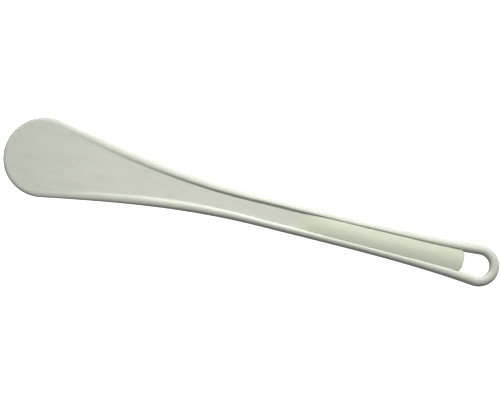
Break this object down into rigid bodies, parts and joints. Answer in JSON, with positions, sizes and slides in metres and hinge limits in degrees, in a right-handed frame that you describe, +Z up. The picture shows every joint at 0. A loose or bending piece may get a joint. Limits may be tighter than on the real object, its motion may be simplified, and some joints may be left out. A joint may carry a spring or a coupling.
{
  "type": "mixing spatula",
  "caption": "Long flat plastic mixing spatula: a thin round-tipped blade narrows into a handle edged by round rods that close into a hanging loop, with crowned grip panels between them.",
  "frame": {"origin": "centre of the underside of the bounding box, under the middle of the spatula at the height of the hanging loop's lowest point", "axes": "+X along the spatula from the blade towards the hanging loop, +Y across it, +Z up out of the front face"},
  "size_m": [0.3, 0.0478, 0.0059],
  "materials": {
    "body": "satin, glass-filled moulded plastic",
    "grip": "satin, glass-filled moulded plastic, slightly warmer"
  },
  "bodies": {
    "root": {"blade_web": "body", "rim_rod": "body", "front_grip_panel": "grip", "back_grip_panel": "grip"}
  },
  "joints": []
}
